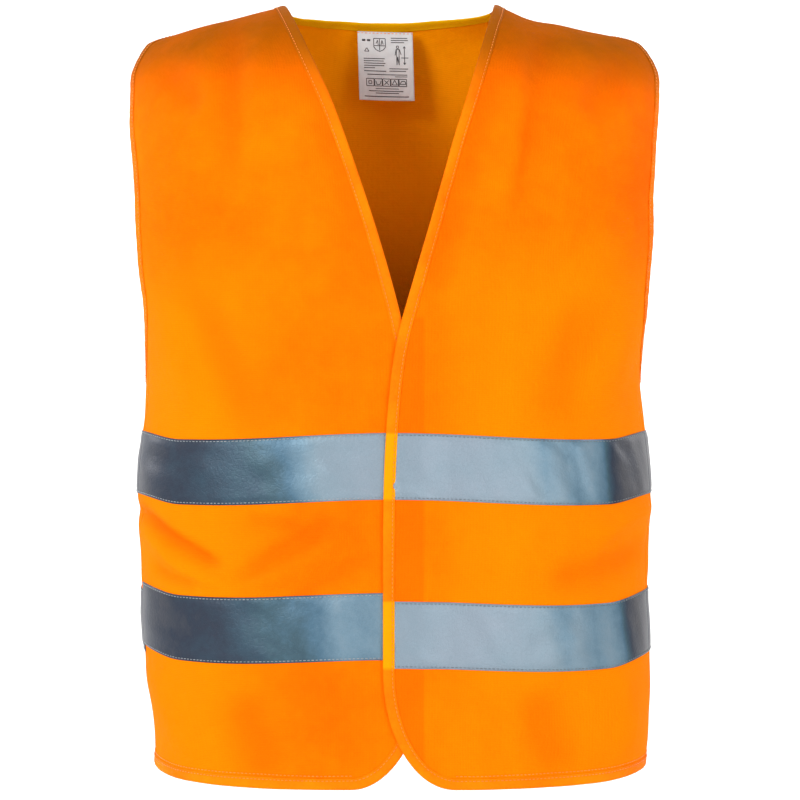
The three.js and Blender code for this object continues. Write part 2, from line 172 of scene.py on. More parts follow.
# Folds of the front, each a straight ridge or valley seen from the front:
# from x, z to x, z, its half width and its height, all in millimetres.
FRONT_FOLDS = [
    (-206, -406, -134, -444, 7, -4.0), (-196, -424, -118, -462, 8, 2.8), (-190, -448, -150, -458, 5, -1.8),
    (-118, -468, -36, -420, 11, 3.0), (-122, -452, -44, -408, 7, -2.2), (-86, -470, -18, -436, 7, -1.6),
    (-112, -404, -70, -412, 5, -1.4), (-196, -530, -150, -600, 16, 2.2), (-120, -540, -96, -606, 20, -2.4),
    (-60, -535, -52, -606, 16, 1.8), (52, -540, 66, -606, 18, 2.2), (112, -535, 126, -604, 18, -2.2),
    (168, -520, 176, -600, 14, 2.4), (206, -402, 150, -418, 10, 3.0), (200, -436, 120, -452, 12, -2.0),
    (120, -30, 104, -150, 14, -1.8), (96, -40, 84, -190, 10, 1.4), (-124, -24, -128, -160, 12, -1.8),
    (-96, -20, -104, -130, 10, 1.4), (-60, -60, -18, -230, 14, -1.8), (-84, -70, -46, -240, 14, 1.4),
    (76, -80, 34, -236, 13, -1.6), (98, -90, 58, -250, 14, 1.5), (-180, -250, -150, -330, 14, 1.8),
    (-150, -240, -110, -338, 16, -1.6), (186, -250, 158, -330, 14, 1.8), (150, -245, 120, -336, 16, -1.6),
    (-186, -60, -150, -100, 14, -2.0), (182, -56, 150, -104, 14, -2.0),
]
# Sharp creases left by packing.
CREASES = [
    (-166, -178, -106, -174, 1.3, -0.5), (-160, -213, -100, -212, 1.3, -0.5),
    (-124, -40, -122, -150, 1.2, -0.35), (116, -36, 112, -220, 1.2, -0.4),
    (190, -172, 150, -170, 1.3, -0.4),
]
# Folds of the back, seen through the vest from the front.
BACK_FOLDS = [
    (-150, -40, -90, -200, 18, 2.6), (150, -40, 90, -200, 18, 2.6), (-60, -60, -50, -260, 20, -1.8),
    (64, -60, 46, -260, 20, -1.8), (-170, -280, -60, -330, 16, 2.4), (170, -280, 60, -330, 16, 2.4),
    (-190, -404, -90, -460, 13, -3.0), (190, -404, 80, -456, 13, -2.8), (-40, -408, 60, -462, 14, 2.0),
    (-150, -530, -140, -606, 18, 3.0), (-80, -530, -84, -606, 18, -2.6), (-10, -528, -6, -606, 18, 2.4),
    (60, -530, 66, -606, 18, -2.6), (130, -530, 136, -606, 18, 3.0),
]
# Where the whole cloth stands further out: angle, z, how far each way, and height.
FLARES = [
    (72, -0.215, 26, 0.055, 0.0065),
    (-72, -0.215, 26, 0.055, 0.0030),
    (82, -0.590, 24, 0.075, 0.0125),
    (-80, -0.650, 20, 0.060, 0.0030),
]
# Where the left shoulder dips: x, half width, depth, and the height where it starts and grows to.
SHOULDER_DIPS = [
    (0.112, 0.024, 0.0055, 0.050, 0.040),
    (0.152, 0.022, 0.0028, 0.055, 0.030),
]


def ridge(x, z, fold, more=1.0):
    """The height of one fold at x, z: round across, and fading out towards both its ends."""
    x0, z0, x1, z1, width, height = (v * MM for v in fold)
    wide, tall = x1 - x0, z1 - z0
    length = math.hypot(wide, tall)
    along = ((x - x0) * wide + (z - z0) * tall) / length ** 2
    side = ((x - x0) * tall - (z - z0) * wide) / length
    fade = ease((along + 0.15) / 0.4) * ease((1.15 - along) / 0.4)
    return height * more * fade * np.exp(-(side / width) ** 2)


def ripple(x, z, wavelength, seed, waves=7):
    """Soft uneven ripples between -1 and 1, the same on every run."""
    random = np.random.default_rng(seed)
    total = np.zeros_like(x)
    for _ in range(waves):
        turn, phase = random.uniform(0, 2 * math.pi, 2)
        k = 2 * math.pi / (wavelength * random.uniform(0.7, 1.5))
        total += np.sin(k * (x * math.cos(turn) + z * math.sin(turn)) + phase)
    return total / math.sqrt(waves * 2)


def tape_drops(side):
    """How far down the upper and the lower tape start on a side, which may be an array."""
    return UPPER_TAPE_DROP, LOWER_TAPE_DROP - np.where(np.asarray(side) < 0, RIGHT_TAPE_RISE, 0)


def near_tape(z, side):
    """1 where a reflective tape stiffens the cloth, fading to 0 just beyond it."""
    held = np.zeros_like(z)
    for drop in tape_drops(side):
        out = np.abs(z + drop + TAPE_WIDTH / 2) - TAPE_WIDTH / 2
        held = np.maximum(held, 1 - ease(out / 0.016))
    return held


def on_front(y):
    """1 on the front of the vest and 0 on its back, eased at the sides."""
    return ease(0.5 - y / 0.05)


def folds(angle, height):
    """How far the cloth stands off the torso at each place."""
    x, y, z = np.moveaxis(torso(angle, height, 0), -1, 0)
    front = on_front(y)
    level = sum(ridge(x, z, fold, FOLD_HEIGHT) for fold in FRONT_FOLDS) * front
    level += sum(ridge(x, z, fold) for fold in BACK_FOLDS) * (1 - front)
    free = 1 - 0.8 * near_tape(z, np.where(y < 0, np.sign(x), 1))
    soft = 1.1 * MM * ripple(x + 0.5 * y, z, 0.13, 3) + 0.35 * MM * ripple(x + y, z, 0.045, 5)
    fine = sum(ridge(x, z, crease) for crease in CREASES) * front
    for flare_angle, flare_z, wide, tall, out in FLARES:
        away = ((signed(angle) - flare_angle) / wide) ** 2 + ((z - flare_z) / tall) ** 2
        fine = fine + out * np.exp(-away)
    return ((level + soft) * free + fine) * ease((TOP - height) / 0.05)


def signed(angle):
    """The same direction as an angle between -180 and 180 degrees."""
    return (np.asarray(angle, float) + 180) % 360 - 180


def lift(angle, side):
    """How far the left front stands off where it crosses the right one."""
    raised = OVERLAP_LIFT * (1 - ease((signed(angle) - LIFTED_TO) / (LIFT_STARTS - LIFTED_TO)))
    return raised if side == LEFT else 0 * raised


def sagged(x, z):
    """How far the cloth hangs down under its own weight below the chest."""
    x = np.abs(x)
    sag = 0.0025 + 0.0055 * ease(x / 0.15) - 0.0060 * ease((x - 0.165) / 0.04)
    return sag * ease((-z - 0.24) / 0.10) * (1 - 0.7 * ease((-z - 0.53) / 0.08))


def collar_rise(x, y, z):
    """How far the bound edge stands up across the back of the neck, less the dips of the left shoulder."""
    middle = 1 - ease((np.abs(x - NECK_CENTRE) - 0.030) / 0.060)
    rise = 0.0052 * ease(y / 0.060) * middle * ease((z + 0.060) / 0.060)
    for centre, wide, deep, start, grown in SHOULDER_DIPS:
        rise = rise - deep * np.exp(-((x - centre) / wide) ** 2) * ease((z + start) / grown)
    return rise


def cloth(angle, height, offset, side=0):
    """A place on the folded cloth, with side LEFT for the front that lies on top."""
    point = torso(angle, height, offset + folds(angle, height))
    point[..., 1] -= lift(angle, side)
    point[..., 2] -= sagged(point[..., 0], point[..., 2])
    point[..., 2] += collar_rise(*np.moveaxis(point, -1, 0))
    return point


def locate(points):
    """The angle and height of points that lie on the torso, or close to it."""
    points = np.asarray(points, float)
    x, y, z = points.T
    front = y <= 0
    ahead = np.degrees(np.arctan2(x, np.maximum(-y, 1e-6)))
    behind = np.degrees(np.arctan2(x, -np.maximum(y, 1e-6))) % 360
    angle = np.where(front, ahead, behind)
    rise = np.clip((z + CHEST_DROP) / (shoulder_line(x) + CHEST_DROP), 0, 0.98)
    height = np.where(z > -CHEST_DROP, -CHEST_DROP + DOME * np.arcsin(rise) * 2 / math.pi, z)
    for _ in range(30):
        miss = points - torso(angle, height, 0)
        to_angle, to_height = slopes(angle, height, 0.02, 2e-5)
        aa, hh = (to_angle ** 2).sum(-1), (to_height ** 2).sum(-1)
        ah = (to_angle * to_height).sum(-1)
        ma, mh = (to_angle * miss).sum(-1), (to_height * miss).sum(-1)
        scale = np.maximum(aa * hh - ah * ah, 1e-14)
        angle = angle + np.clip((hh * ma - ah * mh) / scale, -6, 6)
        height = height + np.clip((aa * mh - ah * ma) / scale, -0.02, 0.02)
        angle = np.where(front, np.clip(angle, -90, 90), np.clip(angle, 90, 270))
        height = np.clip(height, -LENGTH - 0.02, TOP)
    return angle, height


def slopes(angle, height, da, dh):
    """How the torso's points move for each degree of angle and each metre of height."""
    low = np.minimum(height, TOP - dh)
    to_angle = (torso(angle + da, height, 0) - torso(angle - da, height, 0)) / (2 * da)
    to_height = (torso(angle, low + dh, 0) - torso(angle, low - dh, 0)) / (2 * dh)
    return to_angle, to_height


# ---------------------------------------------------------------- the edges of the panels

def bezier(a, b, c, count):
    t = np.linspace(0, 1, count)[:, None]
    a, b, c = (np.array(p, float) for p in (a, b, c))
    return (1 - t) ** 2 * a + 2 * t * (1 - t) * b + t ** 2 * c


def corner(edge, side):
    turned = np.radians(np.linspace(0, 90, 24))[1:]
    x = edge + side * CORNER_WIDTH * (1 - np.cos(turned))
    return np.stack([x, -LENGTH + CORNER_HEIGHT * (1 - np.sin(turned))], -1)


def front_line(side):
    """The free edge of a front, seen from the front: down from the shoulder and round the corner."""
    if side == LEFT:
        start = NECK_CENTRE + NECK_HALF
        slope = (start - V_CENTRE) / V_DROP
        straight = np.linspace((start, 0), (V_CENTRE, -V_DROP), 60)[:-1]
        knee = (OUTER_EDGE, -V_DROP - (V_CENTRE - OUTER_EDGE) / slope)
        bend = bezier((V_CENTRE, -V_DROP), knee, (OUTER_EDGE, -V_DROP - 0.168), 40)
        line = np.concatenate([straight, bend])
        edge = OUTER_EDGE
    else:
        line = bezier((NECK_CENTRE - NECK_HALF, 0), (0, -0.725 * V_DROP), (INNER_EDGE, -V_DROP - 0.088), 100)
        edge = INNER_EDGE
    down = np.linspace(line[-1], (edge, -LENGTH + CORNER_HEIGHT), 40)[1:]
    return np.concatenate([line, down, corner(edge, side)])


def even(points, step=0.002):
    """The same line with evenly spaced points."""
    points = np.asarray(points, float)
    gone = np.concatenate([[0], np.cumsum(np.linalg.norm(np.diff(points, axis=0), axis=1))])
    count = max(2, int(round(gone[-1] / step)) + 1)
    at = np.linspace(0, gone[-1], count)
    return np.stack([np.interp(at, gone, points[:, i]) for i in range(points.shape[1])], -1)


def inside(x, y, outline):
    """Whether each x, y lies inside a closed outline."""
    found = np.zeros(np.shape(x), bool)
    for (x0, y0), (x1, y1) in zip(outline, np.roll(outline, -1, 0)):
        if y0 != y1:
            found ^= ((y0 > y) != (y1 > y)) & (x < (x1 - x0) * (y - y0) / (y1 - y0) + x0)
    return found


def armhole_side_view():
    """The armhole seen from the side as a smooth closed outline of y, z."""
    height = ARMHOLE_DROP - ARMHOLE_TOP
    knots = np.array([(y * MM, -ARMHOLE_TOP - s * height) for y, s in ARMHOLE_OUTLINE])
    count = len(knots)
    points = []
    for i in range(count):
        p0, p1, p2, p3 = (knots[(i + k) % count] for k in (-1, 0, 1, 2))
        spans = [max(np.linalg.norm(b - a), 1e-6) ** 0.5 for a, b in ((p0, p1), (p1, p2), (p2, p3))]
        m1 = (p2 - p1) + spans[1] * ((p1 - p0) / spans[0] - (p2 - p0) / (spans[0] + spans[1]))
        m2 = (p2 - p1) + spans[1] * ((p3 - p2) / spans[2] - (p3 - p1) / (spans[1] + spans[2]))
        t = np.linspace(0, 1, 24, endpoint=False)[:, None]
        hermite = ((2 * t ** 3 - 3 * t ** 2 + 1) * p1 + (t ** 3 - 2 * t ** 2 + t) * m1
                   + (3 * t ** 2 - 2 * t ** 3) * p2 + (t ** 3 - t ** 2) * m2)
        points.append(hermite)
    return np.concatenate(points)


ARMHOLE = armhole_side_view()
LINES = {side: front_line(side) for side in (LEFT, RIGHT)}


def level_at(x, y, z):
    """Below 1 inside the torso and above 1 outside."""
    x = x / taper(z)
    across = (np.abs(x) / half_width(z)) ** PLAN_POWER
    low = across + (np.abs(y) / half_depth(z)) ** PLAN_POWER
    depth = half_depth(z) * np.maximum(1 - across, 1e-9) ** (1 / PLAN_POWER)
    power = np.where(y < 0, FRONT_ROUND, BACK_ROUND)
    roof = shoulder_line(x) + CHEST_DROP
    high = (np.maximum(z + CHEST_DROP, 0) / roof) ** power + (np.abs(y) / depth) ** power
    return np.where(z <= -CHEST_DROP, low, high)


def outward_to(axis, known, high=BEYOND, low=0):
    """Solves for one coordinate of points on the torso by halving, with the other two known."""
    low, high = low + 0 * known[0], high + 0 * known[0]
    for _ in range(45):
        middle = (low + high) / 2
        place = [*known]
        place.insert(axis, middle)
        within = level_at(*place) < 1
        low, high = np.where(within, middle, low), np.where(within, high, middle)
    return low


def front_edge_points(side):
    line = LINES[side]
    above = line[0] + (line[0] - line[1]) * (0.004 / (line[0, 1] - line[1, 1]))
    x, z = even(np.concatenate([[above], line]), 0.0003).T
    roof = shoulder_line(x / taper(z))
    on_it = z < roof - 2e-5
    x, z, roof = x[on_it], z[on_it], roof[on_it]
    y = outward_to(1, [x, z], -BEYOND)
    return np.concatenate([[(x[0], 0, roof[0])], np.stack([x, y, z], -1)])


def hem_points(side, back=False):
    """Along the hem: from the front corner to the side seam, or all round the back."""
    if back:
        angle = np.linspace(seam_angle(LEFT), 360 + seam_angle(RIGHT), 420)
    else:
        angle = np.linspace(angle_at(LINES[side][-1, 0], -LENGTH), seam_angle(side), 140)
    return torso(angle, -LENGTH, 0)


def angle_at(x, z):
    """The angle round the front where the torso is x across."""
    y = outward_to(1, [np.array([x]), np.array([z])])
    return math.degrees(math.atan2(x, float(y[0])))


def seam_angle(side, z=-LENGTH):
    """The angle of the side seam at a height."""
    z = np.atleast_1d(np.asarray(z, float))
    x = outward_to(0, [SIDE_SEAM_Y + 0 * z, z])
    return side * math.degrees(math.atan2(float(x[0]), -SIDE_SEAM_Y))


def seam_points(side):
    z = np.linspace(-ARMHOLE_DROP + 0.05, -LENGTH, 200)
    y = SIDE_SEAM_Y + 0 * z
    return np.stack([side * outward_to(0, [y, z]), y, z], -1)


def armhole_points(side):
    y, z = even(np.concatenate([ARMHOLE, ARMHOLE[:1]]), EDGE_STEP).T
    return even(np.stack([side * outward_to(0, [y, z]), y, z], -1))[:-1]


def back_neck_points():
    turned = np.radians(np.linspace(0, 180, 150))
    x = NECK_CENTRE + NECK_HALF * np.cos(turned)
    y = NECK_BACK * np.sin(turned)
    return np.stack([x, y, outward_to(2, [x, y], 0.03, -CHEST_DROP)], -1)


def edge_from(points, centre, away=False, closed=False):
    """An edge on the torso: its points, and directions that lead onto the cloth, which lies towards a
    centre or away from it."""
    angle, height = locate(points)
    low = np.minimum(height, TOP - 5e-5)
    across, up = slopes(angle, low, 0.05, 5e-5)
    normal = np.cross(across, up)
    outward = torso(angle, low, 0.001) - torso(angle, low, 0)
    normal *= np.sign((normal * outward).sum(-1, keepdims=True))
    normal /= np.maximum(np.linalg.norm(normal, axis=1, keepdims=True), 1e-12)
    along = np.roll(points, -1, 0) - np.roll(points, 1, 0) if closed else np.gradient(points, axis=0)
    onto = np.cross(normal, along)
    onto /= np.linalg.norm(onto, axis=1, keepdims=True)
    if (((np.array(centre) - points) * onto).sum() < 0) != away:
        onto = -onto
    return {"points": points, "onto": onto, "closed": closed}


def shifted(edge, distance):
    """Angle and height of the points that lie a distance from the edge onto the cloth."""
    return locate(edge["points"] + edge["onto"] * distance)


# ---------------------------------------------------------------- meshes

def new_piece(name, vertices, faces, material, uv=None, smooth=True):
    mesh = bpy.data.meshes.new(name)
    mesh.from_pydata([tuple(v) for v in np.asarray(vertices).reshape(-1, 3)], [], [tuple(f) for f in faces])
    mesh.materials.append(material)
    if uv is not None:
        layer = mesh.uv_layers.new(name="cloth")
        loops = np.empty(len(mesh.loops), int)
        mesh.loops.foreach_get("vertex_index", loops)
        layer.data.foreach_set("uv", np.asarray(uv, float).reshape(-1, 2)[loops].ravel())
    mesh.polygons.foreach_set("use_smooth", [smooth] * len(mesh.polygons))
    piece = bpy.data.objects.new(name, mesh)
    bpy.context.scene.collection.objects.link(piece)
    return piece


def set_mark(piece, name, values):
    """Gives each vertex of a piece a value that its material reads."""
    piece.data.attributes.new(name, "FLOAT", "POINT").data.foreach_set("value", np.asarray(values, float))


def where(piece):
    points = np.empty(len(piece.data.vertices) * 3)
    piece.data.vertices.foreach_get("co", points)
    return points.reshape(-1, 3)


def duller(z):
    """How dull the colour is, from 0 at the chest to 1 over the shoulders."""
    return ease((z + 0.105) / 0.065)


def mark_cloth(piece, side):
    """Where the knit is duller or lighter, which face is inside and how deep in the vest it lies, and
    where two fronts lie over each other."""
    x, y, z = where(piece).T
    set_mark(piece, "upper", duller(z))
    set_mark(piece, "low", ease((-z - 0.17) / 0.09) * ease((np.abs(x + 0.03) - 0.03) / 0.09))
    half, reach = len(x) // 2, np.hypot(x, y)
    first_inside = reach[:half].mean() < reach[half:].mean()
    inner = (np.arange(len(x)) < half) == first_inside
    set_mark(piece, "inner", inner * (1.0 if side == 0 else 0.5))
    set_mark(piece, "depth", ease((-z - 0.11) / 0.17) * (side == 0))
    double = ease((x - OUTER_EDGE) / 0.002) * (1 - ease((x - INNER_EDGE) / 0.002))
    set_mark(piece, "double", double * (side == LEFT) * (z < -V_DROP))


def grid_faces(rows, columns, wrap=False):
    i, j = np.meshgrid(np.arange(rows - 1), np.arange(columns if wrap else columns - 1), indexing="ij")
    k = (j + 1) % columns
    corners = [i * columns + j, i * columns + k, (i + 1) * columns + k, (i + 1) * columns + j]
    return np.stack(corners, -1).reshape(-1, 4)


def thicken(piece, thickness, rest=1):
    """Gives a sheet its thickness, and leaves no modifier on it."""
    modifier = piece.modifiers.new("thickness", "SOLIDIFY")
    modifier.thickness = thickness
    modifier.offset = rest
    return applied(piece)


def applied(piece):
    """Turns what the modifiers make into the piece's own mesh."""
    made = bpy.data.meshes.new_from_object(piece.evaluated_get(bpy.context.evaluated_depsgraph_get()))
    piece.modifiers.clear()
    old = piece.data
    piece.data = made
    bpy.data.meshes.remove(old)
    made.name = piece.name
    return piece


def cloth_lengths(angle, height):
    """How far round and how far up the cloth each place of a grid lies, in metres."""
    point = torso(angle, height, 0)
    round_it = np.linalg.norm(np.diff(point, axis=1), axis=-1)
    far = np.concatenate([np.zeros((len(point), 1)), np.cumsum(round_it, 1)], 1)
    middle = point.shape[1] // 2
    return np.stack([far - far[:, middle:middle + 1], height + 0 * far], -1)


def panel(name, angles, keep, borders, side=0):
    """A panel of knit cut from the torso: the grid's faces that keep() holds, with the cut edge moved
    onto the borders, which are lines of points on the torso."""
    heights = np.arange(-LENGTH, TOP + GRID_STEP / 2, GRID_STEP)
    heights[-1] = TOP
    angle, height = np.meshgrid(angles, heights)
    point = torso(angle, height, 0).reshape(-1, 3)
    uv = cloth_lengths(angle, height).reshape(-1, 2)
    faces = grid_faces(*angle.shape)
    faces = faces[keep(point[faces].mean(1))]
    used, faces = np.unique(faces, return_inverse=True)
    faces = faces.reshape(-1, 4)
    angle, height, uv, point = angle.ravel()[used], height.ravel()[used], uv[used], point[used]
    rim, target = rim_vertices(faces), np.concatenate(borders)
    for some in np.array_split(rim, len(rim) // 400 + 1):
        gaps = np.linalg.norm(point[some][:, None] - target[None], axis=-1)
        close = gaps.min(1) < 2.2 * GRID_STEP
        angle[some[close]], height[some[close]] = locate(target[gaps.argmin(1)[close]])
    piece = new_piece(name, cloth(angle, height, 0, side), faces, KNIT, uv)
    x, y, z = torso(angle, height, 0).T
    hollow = sum(ridge(x, z, fold) for fold in FRONT_FOLDS) * on_front(y)
    hollow += sum(ridge(x, z, fold) for fold in BACK_FOLDS) * on_front(-y)
    set_mark(piece, "hollow", np.clip(-hollow / 0.0040, 0, 1))
    thicken(piece, CLOTH)
    mark_cloth(piece, side)
    return piece


def rim_vertices(faces):
    """The vertices on the open edges of a mesh."""
    pairs = np.concatenate([faces[:, [i, (i + 1) % 4]] for i in range(4)])
    pairs.sort(axis=1)
    edges, uses = np.unique(pairs, axis=0, return_counts=True)
    return np.unique(edges[uses == 1])


def strip(name, material, rows, thickness, side, offset, crinkle=0.0):
    """A tape: rows of angle and height, laid on the cloth and given its thickness."""
    angle, height = rows
    if angle[0, 0] > angle[0, -1]:
        angle, height = angle[:, ::-1], height[:, ::-1]
    x, y = np.moveaxis(torso(angle, height, 0), -1, 0)[:2]
    worn = ripple(x + 0.8 * y, height, 0.022, 11) * ease(ripple(x, 0 * height, 0.11, 13) * 1.6 + 0.5)
    worn = worn + 0.7 * ripple(x + y + 0.6 * height, 0.3 * height, 0.030, 17)
    along = np.arange(angle.shape[1]) * TAPE_STEP
    sewn = ease(np.minimum(along, along[-1] - along) / 0.022)[None]
    sewn = sewn * ease(np.minimum(height - height.min(), height.max() - height) / 0.006)
    vertices = cloth(angle, height, offset + crinkle * sewn * np.maximum(worn + 1.0, 0), side)
    piece = new_piece(name, vertices, grid_faces(*angle.shape), material, cloth_lengths(angle, height))
    return thicken(piece, thickness)


# The section of a folded binding: distance onto the cloth and offset from its inner face, in mm.
# The stitches draw it in at STITCHED, and what lies above OUTER_HALF is on the outside of the cloth.
FOLDED = [
    (7.8, 0.62), (7.9, 0.86), (7.6, 1.02), (6.9, 1.00), (6.2, 0.84), (5.4, 1.06), (3.6, 1.30), (1.6, 1.36),
    (0.2, 1.20), (-0.7, 0.74), (-0.9, 0.25), (-0.7, -0.28), (0.2, -0.66), (1.8, -0.80), (4.5, -0.72),
    (6.2, -0.44), (7.0, -0.62), (7.7, -0.56), (7.8, -0.30), (7.6, -0.14), (0.6, -0.16),
    (0.0, 0.25), (0.6, 0.60), (7.5, 0.60),
]
STITCHED = 6.2
OUTER_HALF = 0.45
PUCKER_PITCH = 0.0042
HEM_TONE_BELOW = -0.600  # the bindings look a little yellower along the hem


def binding(name, edge, side=0, over_tape=False):
    """A tape folded over an edge and sewn, with small puckers between its stitches."""
    count, columns = len(edge["points"]), len(FOLDED)
    place = np.arange(count) * EDGE_STEP
    section, marks = [], []
    for distance, offset in FOLDED:
        angle, height = shifted(edge, distance * MM)
        pucker = 0.10 * np.sin(place / PUCKER_PITCH * math.pi)
        pucker = pucker + 0.16 * ripple(place, 0 * place + distance * MM, 0.016, 23)
        if abs(distance - STITCHED) <= 0.5:
            pucker = 0.3 * pucker
        under = tape_under(angle, height, side) if over_tape else 0 * angle
        if offset > OUTER_HALF:
            raised = (offset + 0.8 * pucker) * MM + OVER_TAPE_RISE * under
        else:
            raised = (offset - 0.5 * pucker) * MM
        section.append(cloth(angle, height, raised, side))
        marks.append(under)
    steps = [math.hypot(b[0] - a[0], b[1] - a[1]) * MM for a, b in zip(FOLDED, FOLDED[1:])]
    uv = np.stack(np.broadcast_arrays(place[:, None], np.cumsum([0] + steps)[None]), -1)
    faces = (grid_faces(count + edge["closed"], columns, wrap=True) % (count * columns)).tolist()
    if not edge["closed"]:
        last = (count - 1) * columns
        faces += [list(range(columns)), [last + i for i in reversed(range(columns))]]
    piece = new_piece(name, np.stack(section, 1), faces, BINDING, uv)
    x, y, z = where(piece).T
    set_mark(piece, "over_tape", np.maximum(np.stack(marks, 1).ravel(), 0.15 * (z < HEM_TONE_BELOW)))
    set_mark(piece, "neck", (y > 0.02) & (z > -0.10) & (np.abs(x) < 0.09))
    set_mark(piece, "upper", duller(z) * (y < 0.02))
    outward_faces(piece)
    return piece


def tape_under(angle, height, side):
    """1 where a reflective tape runs under a front's binding."""
    under = 0 * angle
    for drop in tape_drops(side):
        within = TAPE_WIDTH / 2 - np.abs(height + drop + TAPE_WIDTH / 2)
        under = np.maximum(under, ease(within / 0.002 + 0.5))
    return under


def outward_faces(piece):
    """Turns a closed piece's faces so that they all point out."""
    work = bmesh.new()
    work.from_mesh(piece.data)
    bmesh.ops.recalc_face_normals(work, faces=work.faces)
    work.to_mesh(piece.data)
    work.free()


# ---------------------------------------------------------------- node trees and stitches

def node(tree, kind, values=None, **settings):
    """A new node with its settings, and its inputs set to numbers or linked from other sockets."""
    made = tree.nodes.new(kind)
    for key, value in settings.items():
        setattr(made, key, value)
    for key, value in (values or {}).items():
        if isinstance(value, bpy.types.NodeSocket):
            tree.links.new(value, made.inputs[key])
        else:
            made.inputs[key].default_value = value
    return made


def node_group(kind, name, inputs, outputs):
    """A tree with named sockets: the tree, what it is given, and what it puts out."""
    tree = bpy.data.node_groups.new(name, kind)
    for way, sockets in (("INPUT", inputs), ("OUTPUT", outputs)):
        for socket, holds in sockets.items():
            tree.interface.new_socket(socket, in_out=way, socket_type="NodeSocket" + holds)
    return tree, node(tree, "NodeGroupInput").outputs, node(tree, "NodeGroupOutput").inputs


def socket_of(tree, name):
    return next(item.identifier for item in tree.interface.items_tree if item.name == name)


def stitch_tree():
    """Lays one short thread at every pitch along the lines of a mesh."""
    inputs = {"Lines": "Geometry", "Pitch": "Float", "Length": "Float", "Thread": "Float"}
    inputs["Material"] = "Material"
    tree, given, made = node_group("GeometryNodeTree", "stitches", inputs, {"Stitches": "Geometry"})
    curve = node(tree, "GeometryNodeMeshToCurve", {"Mesh": given["Lines"]}).outputs["Curve"]
    spacing = {"Curve": curve, "Length": given["Pitch"]}
    spaced = node(tree, "GeometryNodeResampleCurve", spacing, mode="LENGTH").outputs["Curve"]
    ball = node(tree, "GeometryNodeMeshUVSphere", {"Segments": 6, "Rings": 5, "Radius": 0.5}).outputs["Mesh"]
    sizes = {"X": given["Thread"], "Y": given["Thread"], "Z": given["Length"]}
    size = node(tree, "ShaderNodeCombineXYZ", sizes).outputs["Vector"]
    thread = node(tree, "GeometryNodeTransform", {"Geometry": ball, "Scale": size}).outputs["Geometry"]
    tangent = node(tree, "GeometryNodeInputTangent").outputs["Tangent"]
    turn = node(tree, "FunctionNodeAlignRotationToVector", {"Vector": tangent}, axis="Z").outputs["Rotation"]
    uneven = node(tree, "FunctionNodeRandomValue", {2: 0.86, 3: 1.1, "Seed": 4}, data_type="FLOAT").outputs[1]
    placing = {"Points": spaced, "Instance": thread, "Rotation": turn, "Scale": uneven}
    made_from = node(tree, "GeometryNodeInstanceOnPoints", placing).outputs["Instances"]
    for kind in ("GeometryNodeRealizeInstances", "GeometryNodeSetShadeSmooth"):
        made_from = node(tree, kind, {"Geometry": made_from}).outputs["Geometry"]
    painting = {"Geometry": made_from, "Material": given["Material"]}
    tree.links.new(node(tree, "GeometryNodeSetMaterial", painting).outputs["Geometry"], made["Stitches"])
    return tree


def stitched(name, lines, material, pitch=0.0031, length=0.0023, thread=0.0007):
    """Rows of stitches along lines of points, as one piece."""
    edges, start = [], 0
    for line in lines:
        edges += [(start + i, start + i + 1) for i in range(len(line) - 1)]
        start += len(line)
    mesh = bpy.data.meshes.new(name)
    mesh.from_pydata([tuple(v) for v in np.concatenate(lines)], edges, [])
    piece = bpy.data.objects.new(name, mesh)
    bpy.context.scene.collection.objects.link(piece)
    modifier = piece.modifiers.new("stitches", "NODES")
    modifier.node_group = STITCHES
    for socket, value in (("Pitch", pitch), ("Length", length), ("Thread", thread), ("Material", material)):
        modifier[socket_of(STITCHES, socket)] = value
    return applied(piece)


STITCHES = stitch_tree()


# ---------------------------------------------------------------- materials

def maths(tree, operation, *values):
    return node(tree, "ShaderNodeMath", dict(enumerate(values)), operation=operation).outputs[0]


def remap(tree, value, low, high, to_low=0.0, to_high=1.0):
    values = {"Value": value, "From Min": low, "From Max": high, "To Min": to_low, "To Max": to_high}
    return node(tree, "ShaderNodeMapRange", values).outputs["Result"]


def mixed(tree, share, a, b, blend="MIX"):
    values = {0: share, 6: a, 7: b}
    return node(tree, "ShaderNodeMix", values, data_type="RGBA", blend_type=blend).outputs[2]


def noise(tree, vector, scale, detail=3.0, roughness=0.55):
    values = {"Vector": vector, "Scale": scale, "Detail": detail, "Roughness": roughness}
    return node(tree, "ShaderNodeTexNoise", values).outputs["Fac"]


def weave_group():
    """Threads that cross: the height of the surface between 0 and 1, for a pitch each way in metres."""
    inputs = {"Vector": "Vector", "Pitch across": "Float", "Pitch along": "Float"}
    tree, given, made = node_group("ShaderNodeTree", "weave", inputs, {"Height": "Float"})
    place = node(tree, "ShaderNodeSeparateXYZ", {0: given["Vector"]}).outputs
    wobble = maths(tree, "MULTIPLY", noise(tree, given["Vector"], 220.0, 1.0), 0.9)
    across = maths(tree, "DIVIDE", maths(tree, "MULTIPLY", place["X"], math.pi), given["Pitch across"])
    along = maths(tree, "DIVIDE", maths(tree, "MULTIPLY", place["Y"], math.pi), given["Pitch along"])
    rows = maths(tree, "ABSOLUTE", maths(tree, "SINE", maths(tree, "ADD", across, wobble)))
    loops = maths(tree, "ABSOLUTE", maths(tree, "SINE", maths(tree, "ADD", along, rows)))
    height = maths(tree, "ADD", maths(tree, "MULTIPLY", rows, 0.55), maths(tree, "MULTIPLY", loops, 0.45))
    tree.links.new(height, made["Height"])
    return tree


